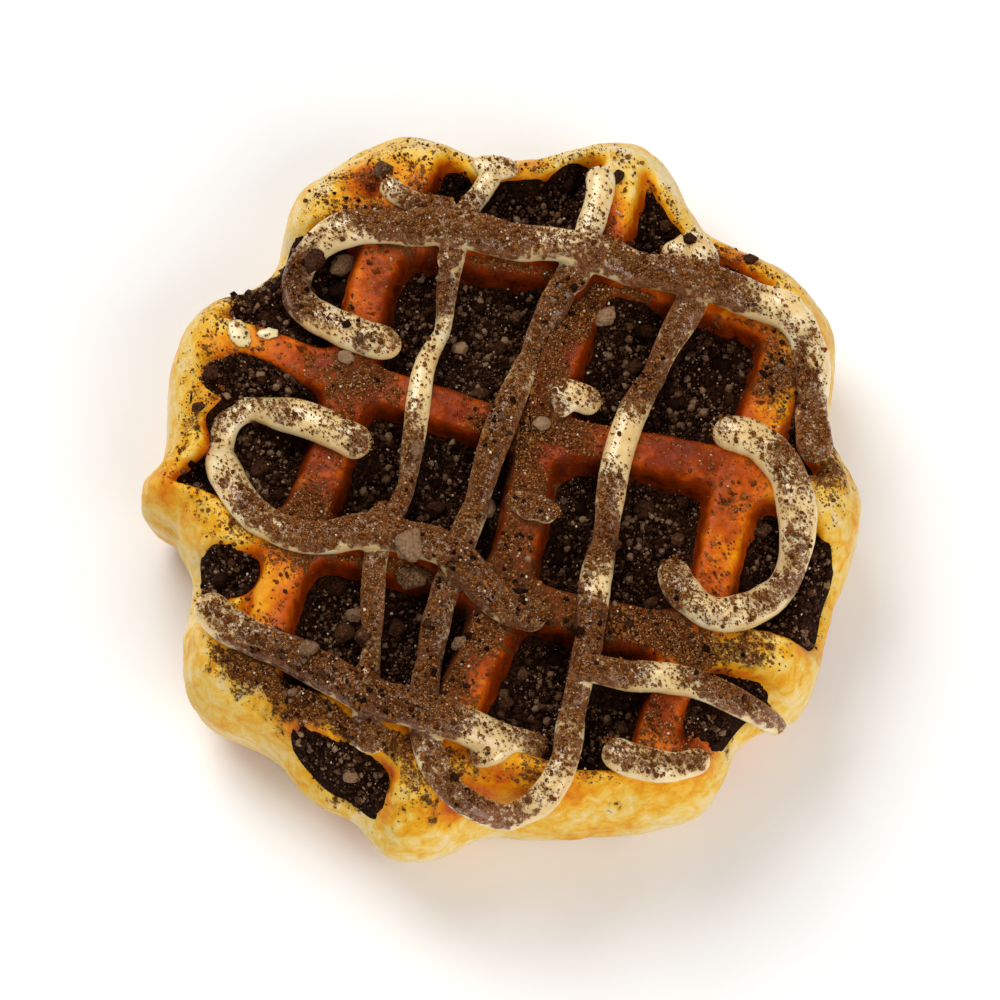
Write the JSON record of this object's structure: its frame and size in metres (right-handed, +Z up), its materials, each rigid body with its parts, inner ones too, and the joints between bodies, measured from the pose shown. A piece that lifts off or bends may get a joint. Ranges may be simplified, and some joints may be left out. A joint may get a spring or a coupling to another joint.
{
  "type": "waffle",
  "caption": "Thick round waffle with a grid of deep pockets on both faces, cream sauce drizzled in loops over the top and crushed dark cookie crumb in the pockets.",
  "frame": {"origin": "on the table under the middle of the waffle", "axes": "+Z up through the decorated face, +Y along the waffle's slightly longer way, away from someone at its near edge"},
  "size_m": [0.0978, 0.1046, 0.03],
  "materials": {
    "baked_dough": "golden caramelised crust, slightly glossy on the ridges",
    "cream_sauce": "thick glossy cream",
    "cookie_crumb": "dry, dark, grainy"
  },
  "bodies": {
    "root": {"waffle": "baked_dough"}
  },
  "joints": []
}
